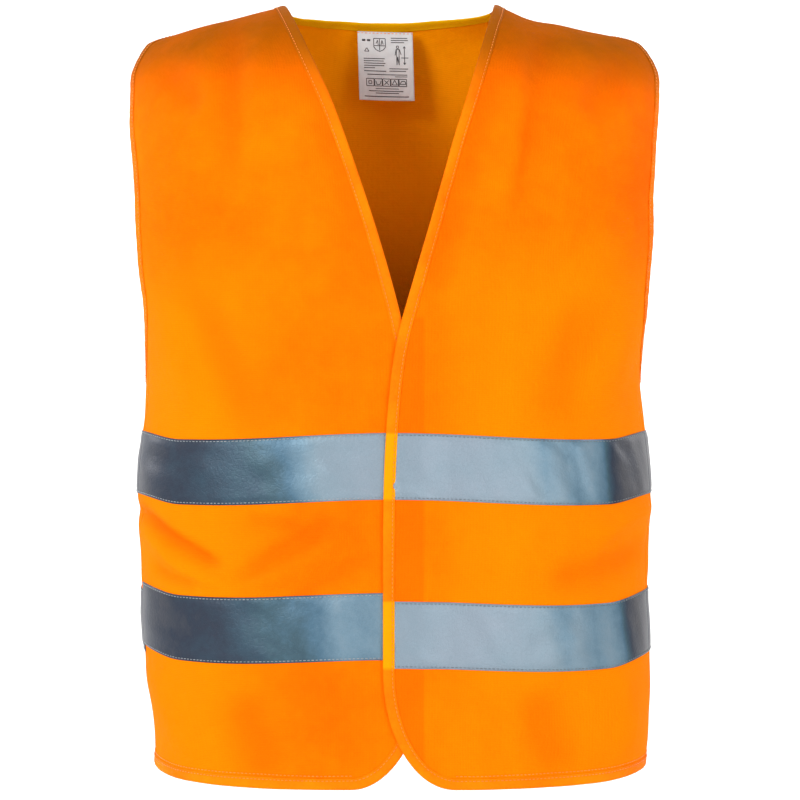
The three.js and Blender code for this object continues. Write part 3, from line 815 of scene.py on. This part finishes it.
def mottle_group():
    """Uneven dye and handling: a soft share between 0 and 1 from broad and fine noise."""
    inputs = {"Vector": "Vector", "Broad": "Float", "Fine": "Float"}
    tree, given, made = node_group("ShaderNodeTree", "mottle", inputs, {"Share": "Float"})
    broad = noise(tree, given["Vector"], given["Broad"], 3.0)
    fine = noise(tree, given["Vector"], given["Fine"], 4.0, 0.65)
    both = maths(tree, "ADD", maths(tree, "MULTIPLY", broad, 0.7), maths(tree, "MULTIPLY", fine, 0.3))
    tree.links.new(remap(tree, both, 0.32, 0.68), made["Share"])
    return tree


WEAVE = weave_group()
MOTTLE = mottle_group()


def material(name):
    """A new material: its tree, its Principled shader and where its pattern is laid out in metres."""
    made = bpy.data.materials.new(name)
    made.use_nodes = True
    tree = made.node_tree
    shader = tree.nodes["Principled BSDF"]
    cloth_place = node(tree, "ShaderNodeUVMap", uv_map="cloth").outputs["UV"]
    world_place = node(tree, "ShaderNodeTexCoord").outputs["Object"]
    return made, tree, shader, cloth_place, world_place


def woven(tree, place, across, along):
    values = {"Vector": place, "Pitch across": across, "Pitch along": along}
    return node(tree, "ShaderNodeGroup", values, node_tree=WEAVE).outputs["Height"]


def mottled(tree, place, broad, fine):
    values = {"Vector": place, "Broad": broad, "Fine": fine}
    return node(tree, "ShaderNodeGroup", values, node_tree=MOTTLE).outputs["Share"]


def darkened(tree, colour, low, high, value, to_low, to_high):
    """A colour times a grey that follows a value."""
    grey = remap(tree, value, low, high, to_low, to_high)
    shade = node(tree, "ShaderNodeCombineColor", {"Red": grey, "Green": grey, "Blue": grey}).outputs[0]
    return mixed(tree, 1.0, colour, shade, "MULTIPLY")


def finished(made, tree, shader, colour, settings, height, depth, strength):
    """Gives a material its colour, its settings and its relief, with the depth in metres."""
    tree.links.new(colour, shader.inputs["Base Color"])
    for socket, value in settings.items():
        shader.inputs[socket].default_value = value
    relief = {"Height": height, "Distance": depth, "Strength": strength}
    tree.links.new(node(tree, "ShaderNodeBump", relief).outputs["Normal"], shader.inputs["Normal"])
    return made


def mark(tree, name, share=1.0):
    """What set_mark() gave a piece under that name."""
    value = node(tree, "ShaderNodeAttribute", attribute_name=name).outputs["Fac"]
    return value if share == 1.0 else maths(tree, "MULTIPLY", value, share)


def knit_material():
    made, tree, shader, place, world = material("orange_knit")
    colour = mixed(tree, mottled(tree, world, 9.0, 60.0), (1.0, 0.125, 0.0, 1), (1.0, 0.190, 0.0, 1))
    colour = mixed(tree, mark(tree, "low", 0.6), colour, (1.0, 0.235, 0.0, 1))
    streaks = remap(tree, noise(tree, world, 26.0, 4.0, 0.6), 0.40, 0.68, 0.82, 1.0)
    dull = maths(tree, "MULTIPLY", mark(tree, "upper"), streaks)
    colour = mixed(tree, dull, colour, (0.38, 0.088, 0.0, 1))
    colour = mixed(tree, mark(tree, "double", 0.45), colour, (0.98, 0.10, 0.0, 1))
    colour = mixed(tree, mark(tree, "hollow", 0.6), colour, (0.55, 0.070, 0.0, 1))
    lining = mixed(tree, mark(tree, "depth"), (0.88, 0.300, 0.0, 1), (0.25, 0.088, 0.0, 1))
    colour = mixed(tree, mark(tree, "inner"), colour, lining)
    threads = woven(tree, place, 0.0011, 0.0014)
    colour = darkened(tree, colour, 0.0, 0.7, threads, 0.80, 1.0)
    height = maths(tree, "ADD", maths(tree, "MULTIPLY", threads, 0.08), noise(tree, world, 45.0, 5.0, 0.6))
    settings = {"Roughness": 0.78, "Sheen Weight": 0.10, "Sheen Roughness": 0.45,
                "Sheen Tint": (1.0, 0.25, 0.0, 1), "Specular IOR Level": 0.02}
    return finished(made, tree, shader, colour, settings, height, 0.0030, 0.8)


def binding_material():
    made, tree, shader, place, world = material("binding_tape")
    colour = mixed(tree, mottled(tree, world, 30.0, 300.0), (0.97, 0.150, 0.0, 1), (1.0, 0.225, 0.0, 1))
    for name, tone in (("over_tape", (1.0, 0.330)), ("upper", (0.39, 0.096)), ("neck", (0.76, 0.400))):
        colour = mixed(tree, mark(tree, name), colour, (*tone, 0.0, 1))
    ribs = woven(tree, place, 0.0009, 0.0006)
    colour = darkened(tree, colour, 0.0, 0.8, ribs, 0.72, 1.0)
    settings = {"Roughness": 0.6, "Sheen Weight": 0.1, "Sheen Tint": (1.0, 0.3, 0.0, 1),
                "Specular IOR Level": 0.04}
    return finished(made, tree, shader, colour, settings, ribs, 0.0002, 0.8)


# The tape's colour from where its beads catch the light to where they turn from it.
TAPE_TONES = (
    (0.20, (0.200, 0.278, 0.335)), (0.35, (0.140, 0.231, 0.300)), (0.50, (0.066, 0.140, 0.204)),
    (0.60, (0.042, 0.089, 0.119)), (0.68, (0.031, 0.064, 0.096)), (0.82, (0.024, 0.034, 0.056)),
)


def tape_material():
    made, tree, shader, place, world = material("reflective_tape")
    facing = node(tree, "ShaderNodeLayerWeight", {"Blend": 0.5}).outputs["Facing"]
    turned = maths(tree, "ADD", mark(tree, "tone"), maths(tree, "MULTIPLY", facing, 0.12))
    uneven = remap(tree, mottled(tree, world, 26.0, 180.0), 0.0, 1.0, -0.08, 0.08)
    ramp = node(tree, "ShaderNodeValToRGB", {"Fac": maths(tree, "ADD", turned, uneven)})
    ramp.color_ramp.elements[0].color = (0.238, 0.296, 0.354, 1)
    ramp.color_ramp.elements[1].color = (0.072, 0.072, 0.082, 1)
    for position, tone in TAPE_TONES:
        ramp.color_ramp.elements.new(position).color = (*tone, 1)
    grain = node(tree, "ShaderNodeTexVoronoi", {"Vector": place, "Scale": 2600.0}).outputs["Distance"]
    colour = darkened(tree, ramp.outputs["Color"], 0.0, 0.8, grain, 1.06, 0.86)
    cracks = {"Vector": place, "Scale": 260.0}
    cracks = node(tree, "ShaderNodeTexVoronoi", cracks, feature="DISTANCE_TO_EDGE").outputs["Distance"]
    lines = remap(tree, cracks, 0.0, 0.10)
    height = maths(tree, "ADD", maths(tree, "MULTIPLY", lines, 0.25), noise(tree, place, 420.0, 3.0))
    settings = {"Roughness": 0.42, "Metallic": 0.25, "Specular IOR Level": 0.3}
    return finished(made, tree, shader, colour, settings, height, 0.00035, 0.55)


def plain_material(name, colour, other, roughness, pitch, depth, sheen=0.1):
    """A material with two close colours, a fine weave and a little sheen."""
    made, tree, shader, _, world = material(name)
    tone = mixed(tree, mottled(tree, world, 120.0, 960.0), (*colour, 1), (*other, 1))
    threads = woven(tree, world, pitch, pitch * 1.2)
    tone = darkened(tree, tone, 0.0, 0.8, threads, 0.82, 1.0)
    settings = {"Roughness": roughness, "Sheen Weight": sheen}
    return finished(made, tree, shader, tone, settings, threads, depth, 0.7)


KNIT = knit_material()
BINDING = binding_material()
TAPE_FACE = tape_material()
ORANGE_THREAD = plain_material("orange_thread", (0.80, 0.17, 0.0), (1.0, 0.30, 0.01), 0.55, 0.0003, 0.0001)
GREY_THREAD = plain_material("grey_thread", (0.20, 0.23, 0.25), (0.34, 0.38, 0.40), 0.5, 0.0003, 0.0001)
DARK_THREAD = plain_material("dark_thread", (0.09, 0.12, 0.14), (0.16, 0.20, 0.22), 0.5, 0.0003, 0.0001)
LABEL_FACE = plain_material("label_satin", (0.54, 0.57, 0.58), (0.60, 0.63, 0.64), 0.45, 0.0006, 0.00005, 0.2)
INK = plain_material("label_ink", (0.03, 0.03, 0.035), (0.06, 0.06, 0.065), 0.6, 0.0006, 0.00001, 0.0)
FUZZ = plain_material("hook_and_loop", (0.75, 0.13, 0.0), (0.92, 0.22, 0.01), 0.95, 0.0009, 0.0005, 0.12)


# ---------------------------------------------------------------- the vest

CENTRES = {side: (side * 0.11, -0.10, -0.40) for side in SHOWN}


def is_front(point):
    return point[:, 1] < np.where(point[:, 2] < -0.2, SIDE_SEAM_Y, 0)


def off_armholes(point):
    return ~(inside(point[:, 1], point[:, 2], ARMHOLE) & (np.abs(point[:, 0]) > 0.12))


def keep_front(side):
    line = LINES[side]
    far = 0.3 * side
    outline = np.concatenate([line, [(line[-1, 0], -0.63), (far, -0.63), (far, 0.1), (line[0, 0], 0.1)]])
    return lambda p: is_front(p) & off_armholes(p) & inside(p[:, 0], p[:, 2], outline)


def keep_back(point):
    neck = ((point[:, 0] - NECK_CENTRE) / NECK_HALF) ** 2 + (point[:, 1] / NECK_BACK) ** 2 < 1
    return ~is_front(point) & off_armholes(point) & ~(neck & (point[:, 2] > -CHEST_DROP))


def tape_rows(drop, starts, ends):
    """A grid of angles and heights for a tape that runs between two lines."""
    heights = np.linspace(-drop - TAPE_WIDTH, -drop, 34)
    first = np.array([starts(z) for z in heights])
    last = np.array([ends(z) for z in heights])
    count = int(max(abs(last - first)) * math.pi / 180 * 0.19 / TAPE_STEP)
    share = np.linspace(0, 1, count)
    return first[:, None] + (last - first)[:, None] * share, heights[:, None] + 0 * share


def run_along(edge, distance, offset, side=0):
    """A line on the cloth that follows an edge, and rises over the tapes."""
    angle, height = shifted(edge, distance)
    line = cloth(angle, height, offset + OVER_TAPE_RISE * tape_under(angle, height, side), side)
    return np.concatenate([line, line[:1]]) if edge["closed"] else line


def riding(piece, body, slot, *nodes):
    """A piece that moves with one body."""
    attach(piece, body)
    if nodes:
        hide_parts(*nodes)


def bending(piece, side, slot, *nodes):
    """A piece of a front, which bends across the line where the front opens."""
    point, inboard = (Vector((side * v[0], *v[1:])) for v in (FOLD_MIDDLE, FOLD_INBOARD))
    start, end = point - inboard * FOLD_BEND / 2, point + inboard * FOLD_BEND / 2
    tuple(start)
    tuple(end)
    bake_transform(piece)
    if nodes:
        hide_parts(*nodes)


def as_sheet(piece):
    """Says what flat rectangle a panel is cut from: 80 % of it is used."""
    x, y, z = where(piece).T


def both_fronts():
    for side, word in SHOWN.items():
        borders = [front_edge_points(side), armhole_points(side), seam_points(side)]
        angles = np.arange(-14, 90 + GRID_DEGREES / 2, GRID_DEGREES * 0.75)
        piece = panel(word + "_front_cloth", np.sort(side * angles), keep_front(side), borders, side)
        bending(piece, side, "orange_knit", word + "_front_side", word + "_front_flap")
        as_sheet(piece)
        front_tapes(side, word)
        front_binding(side, word)


def front_tapes(side, word):
    edge = OUTER_EDGE + 0.0015 if side == LEFT else INNER_EDGE - 0.002
    lines = []
    for level, drop in zip(("upper", "lower"), tape_drops(side)):
        rows = tape_rows(float(drop), lambda z: angle_at(edge, z), lambda z: seam_angle(side, z))
        name = f"{word}_{level}_tape"
        piece = strip(name, TAPE_FACE, rows, TAPE, side, CLOTH + ON_CLOTH, TAPE_CRINKLE)
        tone_tape(piece)
        bending(piece, side, "reflective_tape", name + "_side", name + "_flap")
        lines += tape_seams(rows, side)
    piece = stitched(word + "_tape_stitches", lines, DARK_THREAD if side == LEFT else GREY_THREAD)
    bending(piece, side, "reflective_tape")


# How far the beads of the front tapes turn from the light, by x.
TAPE_LIGHT = [
    (-0.205, 0.80), (-0.192, 0.82), (-0.184, 0.80), (-0.158, 0.78), (-0.137, 0.75), (-0.124, 0.69),
    (-0.101, 0.60), (-0.078, 0.54), (-0.063, 0.40), (-0.048, 0.16), (-0.018, 0.09), (0.050, 0.02),
    (0.080, 0.06), (0.109, 0.16), (0.122, 0.32), (0.133, 0.22), (0.146, 0.38), (0.157, 0.28),
    (0.168, 0.42), (0.176, 0.80), (0.184, 0.94), (0.205, 0.95),
]


def tone_tape(piece):
    """How dark the beads of a tape look: they turn from the light towards the sides."""
    x, y, z = where(piece).T
    seen = np.interp(x + 0.12 * (z + 0.43), *zip(*TAPE_LIGHT))
    seen = seen + 0.22 * (z < -0.43) * ease((x + 0.080) / 0.055) * (x < OUTER_EDGE)
    behind = 0.20 + 0.65 * ease(np.abs(x) / 0.2)
    set_mark(piece, "tone", np.where(y < SIDE_SEAM_Y - 0.002, seen, behind))


def tape_seams(rows, side):
    """The two stitched lines of a tape."""
    angle, height = rows
    inset = [int(round(a / TAPE_WIDTH * (len(angle) - 1))) for a in (TAPE_SEAM, TAPE_WIDTH - TAPE_SEAM)]
    return [even(cloth(angle[row], height[row], CLOTH + 0.0009, side)) for row in inset]


def front_binding(side, word):
    path = np.concatenate([front_edge_points(side), hem_points(side)[1:]])
    edge = edge_from(even(path, EDGE_STEP), CENTRES[side])
    piece = binding(word + "_front_binding", edge, side, over_tape=True)
    bending(piece, side, "binding_tape", word + "_front_edge_binding")
    hem = edge_from(even(hem_points(side), EDGE_STEP), CENTRES[side])
    lines = [run_along(edge, *BINDING_SEAM, side), run_along(hem, HEM_SEAM, CLOTH + 0.0002, side)]
    bending(stitched(word + "_binding_stitches", lines, ORANGE_THREAD), side, "binding_tape")


def back():
    borders = [armhole_points(s) for s in SHOWN] + [seam_points(s) for s in SHOWN] + [back_neck_points()]
    piece = panel("back_cloth", np.arange(72, 288.1, GRID_DEGREES), keep_back, borders)
    riding(piece, "root", "orange_knit", "back_panel")
    as_sheet(piece)
    lines = []
    for level, drop in zip(("upper", "lower"), tape_drops(0)):
        rows = tape_rows(float(drop), lambda z: seam_angle(LEFT, z), lambda z: 360 + seam_angle(RIGHT, z))
        name = f"back_{level}_tape"
        piece = strip(name + "_face", TAPE_FACE, rows, TAPE, 0, CLOTH + ON_CLOTH, TAPE_CRINKLE)
        tone_tape(piece)
        riding(piece, "root", "reflective_tape", name)
        lines += tape_seams(rows, 0)
    riding(stitched("back_tape_stitches", lines, GREY_THREAD), "root", "reflective_tape")


def root_bindings():
    """The bindings of the neck, the back's hem and the armholes."""
    neck, hem = even(back_neck_points(), EDGE_STEP), even(hem_points(0, back=True), EDGE_STEP)
    hem_edge = edge_from(hem, (0, 0.12, -0.3))
    edges = {
        "back_neck_binding": (edge_from(neck, (NECK_CENTRE, 0, 0), away=True), "neck_binding"),
        "back_hem_binding": (hem_edge, "hem_binding"),
    }
    for side, word in SHOWN.items():
        points = armhole_points(side)
        edge = edge_from(points, points.mean(0), away=True, closed=True)
        edges[word + "_armhole_edge"] = edge, word + "_armhole_binding"
    for name, (edge, replaced) in edges.items():
        riding(binding(name, edge), "root", "binding_tape", replaced)
    lines = [run_along(edge, *BINDING_SEAM) for edge, _ in edges.values()]
    lines.insert(2, run_along(hem_edge, HEM_SEAM, CLOTH + 0.0002))
    riding(stitched("root_binding_stitches", lines, ORANGE_THREAD), "root", "binding_tape")


PATCHES = {"upper": -0.3447, "middle": -0.4510, "lower": -0.5582}  # the height of each one's foot
PATCH_HEIGHT = 0.036
PATCH_EDGES = (0.0015, 0.0132)


def patches():
    """Hook and loop patches in the overlap: the loops on the right front, the hooks inside the left."""
    for word, foot in PATCHES.items():
        heights = np.linspace(foot, foot + PATCH_HEIGHT, 25)
        x = np.linspace(*PATCH_EDGES, 13)
        rows = np.array([[angle_at(a, z) for a in x] for z in heights]), heights[:, None] + 0 * x
        loop = strip(word + "_loop", FUZZ, rows, 0.0009, RIGHT, CLOTH + 0.0001)
        riding(loop, "right_flap", "hook_and_loop", word + "_loop_patch")
        hook = strip(word + "_hook", FUZZ, rows, 0.0008, LEFT, -0.0010)
        riding(hook, "left_flap", "hook_and_loop", word + "_hook_patch")


# The care label in metres: left, right, top and foot. Its lines of print, as left, top, width and
# height, and its drawn marks, as runs of points, are shares of the label from its top left.
LABEL_BOX = (-0.0320, 0.0158, -0.0036, -0.0632)
LABEL_Y = 0.0768
LABEL_BARS = (
    [(0.60, 0.080 + 0.032 * k, length, 0.012) for k, length in enumerate((0.30, 0.31, 0.24))]
    + [(0.10, 0.385 + 0.034 * k, length, 0.012) for k, length in enumerate((0.38, 0.36, 0.39, 0.37, 0.20))]
    + [(0.56, 0.530 + 0.034 * k, length, 0.012) for k, length in enumerate((0.34, 0.30))]
    + [(0.10, 0.568, 0.40, 0.012), (0.16, 0.618, 0.72, 0.012), (0.66, 0.646, 0.22, 0.010)]
    + [(0.30, 0.822, 0.42, 0.010), (0.18, 0.856, 0.62, 0.012), (0.30, 0.886, 0.42, 0.012)]
    + [(0.10, 0.935, 0.80, 0.014), (0.08, 0.108, 0.06, 0.030), (0.17, 0.108, 0.06, 0.030)]
)
SQUARE = [(0, 0), (1, 0), (1, 1), (0, 1), (0, 0)]
CARE_SHAPES = [
    [(0.3, 0.3), (0.7, 0.3), (0.7, 0.7), (0.3, 0.7), (0.3, 0.3)],
    [(0.15, 0.3), (0.3, 0.8), (0.7, 0.8), (0.85, 0.3)],
    [(0.2, 0.2), (0.8, 0.8), (0.5, 0.5), (0.2, 0.8), (0.8, 0.2)],
    [(0.15, 0.8), (0.5, 0.15), (0.85, 0.8), (0.15, 0.8)],
    [(0.1, 0.7), (0.35, 0.3), (0.8, 0.3), (0.9, 0.7), (0.1, 0.7)],
]


def care_square(k, points):
    """A shape drawn in the square of the care sign of that number."""
    return [(0.14 + 0.147 * k + 0.135 * across, 0.685 + 0.105 * down) for across, down in points]


SHIELD = [(0.29, 0.095), (0.50, 0.095), (0.50, 0.22), (0.46, 0.26), (0.395, 0.285), (0.33, 0.26),
          (0.29, 0.22), (0.29, 0.095)]
LABEL_STROKES = (
    [care_square(k, SQUARE) for k in range(5)]
    + [care_square(k, shape) for k, shape in enumerate(CARE_SHAPES)]
    + [
        SHIELD, [(0.395, 0.10), (0.395, 0.27)], [(0.30, 0.20), (0.49, 0.20)],
        [(0.33, 0.17), (0.36, 0.12), (0.37, 0.19)], [(0.42, 0.19), (0.44, 0.12), (0.46, 0.18)],
        [(0.12, 0.285), (0.16, 0.235), (0.20, 0.285), (0.12, 0.285)],
        [(0.70, 0.235), (0.70, 0.200), (0.735, 0.200), (0.735, 0.235), (0.70, 0.235)],
        [(0.67, 0.340), (0.69, 0.250), (0.75, 0.250), (0.78, 0.330)],
        [(0.695, 0.25), (0.70, 0.48), (0.715, 0.36)], [(0.715, 0.36), (0.74, 0.48), (0.745, 0.25)],
        [(0.84, 0.205), (0.84, 0.475)], [(0.82, 0.235), (0.84, 0.205), (0.86, 0.235)],
        [(0.82, 0.445), (0.84, 0.475), (0.86, 0.445)], [(0.78, 0.375), (0.91, 0.375)],
    ]
)
LABEL_ASPECT = 0.8  # width over height
STROKE = 0.011
PRINT_LIFT = 0.00022


def label_place(across, down, off):
    """A place on the label, which bows a little and stands off the cloth at its foot."""
    x0, x1, z0, z1 = LABEL_BOX
    across, down = np.asarray(across, float), np.asarray(down, float)
    x = x0 + (x1 - x0) * across + 0.0018 * down
    z = z0 + (z1 - z0) * down - 0.0012 * across
    bow = 0.0016 * np.sin(across * math.pi) * (0.3 + down)
    bow = bow - 0.0028 * down ** 1.5 + 0.0006 * np.sin(down * 7 + across * 2)
    return np.stack([x, LABEL_Y + bow - off, z], -1)


def bar_grid(left, top, wide, high):
    columns, rows = max(2, int(wide * 24)), max(2, int(high * 30))
    return np.meshgrid(np.linspace(left, left + wide, columns), np.linspace(top, top + high, rows))


def stroke_grids(points):
    for (a0, d0), (a1, d1) in zip(points, points[1:]):
        run = np.array([(a1 - a0) * LABEL_ASPECT, d1 - d0])
        run /= math.hypot(*run)
        edges = np.array([-1, 1]) * STROKE / 2
        yield (np.linspace(a0, a1, 6)[:, None] - run[1] / LABEL_ASPECT * edges,
               np.linspace(d0, d1, 6)[:, None] + run[0] * edges)


def label():
    across, down = np.meshgrid(np.linspace(0, 1, 33), np.linspace(0, 1, 41))
    uv = np.stack([across * 0.048, down * 0.059], -1)
    piece = new_piece("label_cloth", label_place(across, down, 0), grid_faces(41, 33), LABEL_FACE, uv)
    thicken(piece, 0.0003, rest=0)
    outward_faces(piece)
    riding(piece, "label", "label_cloth", "care_label")
    vertices, faces, start = [], [], 0
    grids = [bar_grid(*bar) for bar in LABEL_BARS]
    grids += [grid for line in LABEL_STROKES for grid in stroke_grids(line)]
    for a, d in grids:
        vertices.append(label_place(a, d, PRINT_LIFT).reshape(-1, 3))
        faces.append(grid_faces(*a.shape) + start)
        start += a.size
    piece = new_piece("label_print", np.concatenate(vertices), np.concatenate(faces), INK)
    thicken(piece, 0.00004, rest=0)
    outward_faces(piece)
    riding(piece, "label", "label_cloth")
    seam = label_place(np.linspace(0.02, 0.98, 30), np.full(30, 0.02), 0.0004)
    riding(stitched("label_stitches", [seam], ORANGE_THREAD), "label", "label_cloth")


both_fronts()
back()
root_bindings()
patches()
label()


# ---------------------------------------------------------------- floor, light and camera

def floor():
    """A pale floor that curves up behind the vest."""
    turned = np.radians(np.linspace(0, 90, 24))
    y = np.concatenate([[-4.0], 2.2 + 1.2 * np.sin(turned), [3.4]])
    z = np.concatenate([[-0.95], -0.95 + 1.2 * (1 - np.cos(turned)), [3.0]])
    vertices = np.stack([np.stack([np.full_like(y, x), y, z], -1) for x in (-5.0, 5.0)], 1)
    pale = bpy.data.materials.new("pale_floor")
    pale.use_nodes = True
    shader = pale.node_tree.nodes["Principled BSDF"]
    shader.inputs["Base Color"].default_value = (0.93, 0.93, 0.93, 1)
    shader.inputs["Roughness"].default_value = 0.7
    new_piece("floor", vertices, grid_faces(len(y), 2), pale)


def light(name, place, target, size, watts):
    data = bpy.data.lights.new(name, "AREA")
    data.size, data.energy = size, watts
    lamp = bpy.data.objects.new(name, data)
    lamp.location = place
    lamp.rotation_euler = (Vector(target) - Vector(place)).to_track_quat("-Z", "Y").to_euler()
    bpy.context.scene.collection.objects.link(lamp)


floor()
light("key", (-1.3, -1.9, 0.35), (0, 0, -0.32), 0.8, 34)
light("fill", (1.2, -2.2, -0.2), (0, 0, -0.35), 1.2, 17)
light("left_backdrop", (-2.2, 0.9, 0.6), (0, 3.2, 0.2), 1.5, 60)
light("right_backdrop", (2.2, 0.9, 0.6), (0, 3.2, 0.2), 1.5, 60)

world = bpy.data.worlds.new("studio")
world.use_nodes = True
world.node_tree.nodes["Background"].inputs["Color"].default_value = (1, 1, 1, 1)
world.node_tree.nodes["Background"].inputs["Strength"].default_value = 0.65
bpy.context.scene.world = world

camera = bpy.data.objects.new("camera", bpy.data.cameras.new("camera"))
camera.data.sensor_width = 36
camera.data.lens = 78
camera.location = (0.0049, -1.423, -0.3227)
camera.rotation_euler = (math.pi / 2, 0, 0)
bpy.context.scene.collection.objects.link(camera)
bpy.context.scene.camera = camera
bpy.context.scene.view_settings.view_transform = "Standard"
